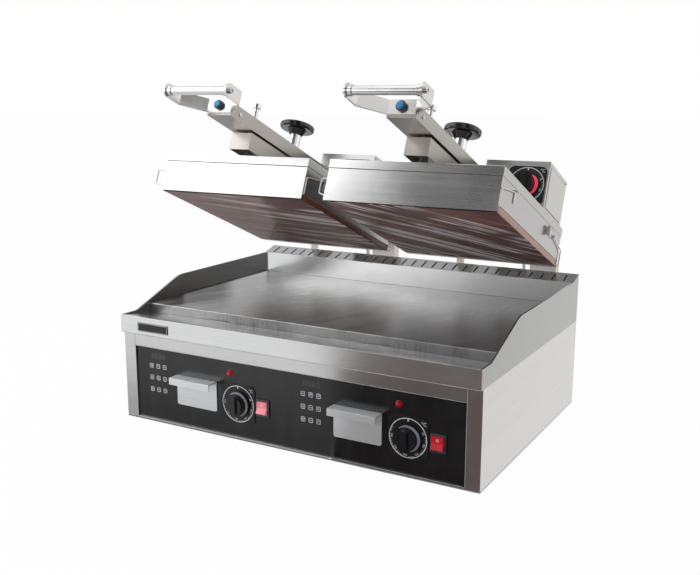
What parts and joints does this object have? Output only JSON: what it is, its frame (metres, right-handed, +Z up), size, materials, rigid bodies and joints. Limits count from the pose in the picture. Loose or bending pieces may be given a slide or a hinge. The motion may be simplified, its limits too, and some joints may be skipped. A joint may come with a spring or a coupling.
{
  "type": "contact grill",
  "caption": "Countertop contact grill: a wide griddle plate in a stainless cabinet with side guards, and lids on hinged arms with handles, handwheels and control boxes.",
  "frame": {"origin": "middle of the cabinet's underside, on the surface it stands on", "axes": "+X along the cabinet's width to the user's right, -Y towards the user, +Z up"},
  "size_m": [0.7, 0.6666, 0.6061],
  "materials": {
    "stainless": "brushed",
    "pan_steel": "satin",
    "griddle_steel": "satin",
    "heater_steel": "matte",
    "black_glass": "gloss",
    "dial_black": "gloss",
    "lamp_red": "gloss",
    "frame_black": "matte",
    "badge_metal": "satin",
    "gland_black": "matte",
    "tower_steel": "satin",
    "fastener_steel": "gloss",
    "drawer_steel": "brushed",
    "knob_black": "matte",
    "rocker_red": "gloss",
    "arm_steel": "satin",
    "polished_steel": "polished",
    "button_blue": "gloss",
    "wheel_black": "satin",
    "lid_steel": "brushed",
    "cast_plate": "matte",
    "release_brown": "satin",
    "wire_steel": "gloss"
  },
  "bodies": {
    "base": {"bottom_pan": "pan_steel", "side_panels": "stainless", "back_panel": "pan_steel", "front_frame": "stainless", "control_panel": "black_glass", "top_tray": "stainless", "griddle_plate": "griddle_steel", "lower_heaters": "heater_steel", "drawer_runners": "pan_steel", "dial_plates": "dial_black", "indicator_lamps": "lamp_red", "rocker_frames": "frame_black", "name_plate": "badge_metal", "cable_gland": "gland_black", "hinge_towers": "tower_steel", "base_fasteners": "fastener_steel"},
    "drawer_left": {"drawer_left": "drawer_steel"},
    "panel_knob_left": {"panel_knob_left": "knob_black"},
    "rocker_left": {"rocker_left": "rocker_red"},
    "drawer_right": {"drawer_right": "drawer_steel"},
    "panel_knob_right": {"panel_knob_right": "knob_black"},
    "rocker_right": {"rocker_right": "rocker_red"},
    "arm_left": {"arm_left": "arm_steel", "handle_head_left": "arm_steel", "handle_bar_left": "polished_steel", "arm_bolts_left": "fastener_steel", "button_frame_left": "frame_black", "saddle_left": "arm_steel"},
    "button_left": {"push_button_left": "button_blue"},
    "wheel_left": {"handwheel_left": "wheel_black", "lift_screw_left": "polished_steel"},
    "lid_left": {"lid_housing_left": "lid_steel", "lid_cap_left": "lid_steel", "lid_posts_left": "polished_steel", "upper_plate_left": "cast_plate", "release_sheet_left": "release_brown", "control_box_left": "lid_steel", "lid_dial_left": "dial_black", "sheet_clips_left": "wire_steel"},
    "lid_knob_left": {"lid_knob_left": "knob_black"},
    "bail_left": {"sheet_bail_left": "wire_steel"},
    "arm_right": {"arm_right": "arm_steel", "handle_head_right": "arm_steel", "handle_bar_right": "polished_steel", "arm_bolts_right": "fastener_steel", "button_frame_right": "frame_black", "saddle_right": "arm_steel"},
    "button_right": {"push_button_right": "button_blue"},
    "wheel_right": {"handwheel_right": "wheel_black", "lift_screw_right": "polished_steel"},
    "lid_right": {"lid_housing_right": "lid_steel", "lid_cap_right": "lid_steel", "lid_posts_right": "polished_steel", "upper_plate_right": "cast_plate", "release_sheet_right": "release_brown", "control_box_right": "lid_steel", "lid_dial_right": "dial_black", "sheet_clips_right": "wire_steel"},
    "lid_knob_right": {"lid_knob_right": "knob_black"},
    "bail_right": {"sheet_bail_right": "wire_steel"}
  },
  "joints": [
    {"name": "drawer_slide_left", "type": "slide", "parent": "base", "child": "drawer_left", "axis": [0, -1, 0], "range_m": [0, 0.14]},
    {"name": "panel_knob_turn_left", "type": "hinge", "parent": "base", "child": "panel_knob_left", "pos_m": [-0.097, -0.239, 0.0648], "axis": [0, 1, 0], "range_deg": [0, 300]},
    {"name": "rocker_tip_left", "type": "hinge", "parent": "base", "child": "rocker_left", "pos_m": [-0.046, -0.2404, 0.0657], "axis": [1, 0, 0], "range_deg": [0, 20]},
    {"name": "drawer_slide_right", "type": "slide", "parent": "base", "child": "drawer_right", "axis": [0, -1, 0], "range_m": [0, 0.14]},
    {"name": "panel_knob_turn_right", "type": "hinge", "parent": "base", "child": "panel_knob_right", "pos_m": [0.228, -0.239, 0.0648], "axis": [0, 1, 0], "range_deg": [0, 300]},
    {"name": "rocker_tip_right", "type": "hinge", "parent": "base", "child": "rocker_right", "pos_m": [0.279, -0.2404, 0.0657], "axis": [1, 0, 0], "range_deg": [0, 20]},
    {"name": "arm_hinge_left", "type": "hinge", "parent": "base", "child": "arm_left", "pos_m": [-0.1745, 0.3556, 0.29], "axis": [-1, 0, 0], "range_deg": [-22.75, 28]},
    {"name": "lid_lower_left", "type": "slide", "parent": "arm_left", "child": "lid_left", "axis": [0, -0.3867, -0.9222], "range_m": [0, 0.006]},
    {"name": "wheel_turn_left", "type": "hinge", "parent": "arm_left", "child": "wheel_left", "pos_m": [-0.1745, 0.07329, 0.51693], "axis": [0, 0.3867, 0.9222], "range_deg": [0, 540]},
    {"name": "button_press_left", "type": "slide", "parent": "arm_left", "child": "button_left", "axis": [0, 0.9222, -0.3867], "range_m": [0, 0.0025], "stiffness_N_per_m": 400, "springref_m": -0.001},
    {"name": "lid_knob_turn_left", "type": "hinge", "parent": "lid_left", "child": "lid_knob_left", "pos_m": [-0.065, 0.11072, 0.43292], "axis": [0, 0.9222, -0.3867], "range_deg": [0, 300]},
    {"name": "bail_swing_left", "type": "hinge", "parent": "lid_left", "child": "bail_left", "pos_m": [-0.1745, 0.1402, 0.34031], "axis": [1, 0, 0], "range_deg": [0, 65]},
    {"name": "arm_hinge_right", "type": "hinge", "parent": "base", "child": "arm_right", "pos_m": [0.1745, 0.3556, 0.29], "axis": [-1, 0, 0], "range_deg": [-22.75, 28]},
    {"name": "lid_lower_right", "type": "slide", "parent": "arm_right", "child": "lid_right", "axis": [0, -0.3867, -0.9222], "range_m": [0, 0.006]},
    {"name": "wheel_turn_right", "type": "hinge", "parent": "arm_right", "child": "wheel_right", "pos_m": [0.1745, 0.07329, 0.51693], "axis": [0, 0.3867, 0.9222], "range_deg": [0, 540]},
    {"name": "button_press_right", "type": "slide", "parent": "arm_right", "child": "button_right", "axis": [0, 0.9222, -0.3867], "range_m": [0, 0.0025], "stiffness_N_per_m": 400, "springref_m": -0.001},
    {"name": "lid_knob_turn_right", "type": "hinge", "parent": "lid_right", "child": "lid_knob_right", "pos_m": [0.284, 0.11072, 0.43292], "axis": [0, 0.9222, -0.3867], "range_deg": [0, 300]},
    {"name": "bail_swing_right", "type": "hinge", "parent": "lid_right", "child": "bail_right", "pos_m": [0.1745, 0.1402, 0.34031], "axis": [1, 0, 0], "range_deg": [0, 65]}
  ],
  "couplings": [
    {"joint": "wheel_turn_left", "follows": "lid_lower_left", "rad_per_m": 1570},
    {"joint": "wheel_turn_right", "follows": "lid_lower_right", "rad_per_m": 1570}
  ]
}
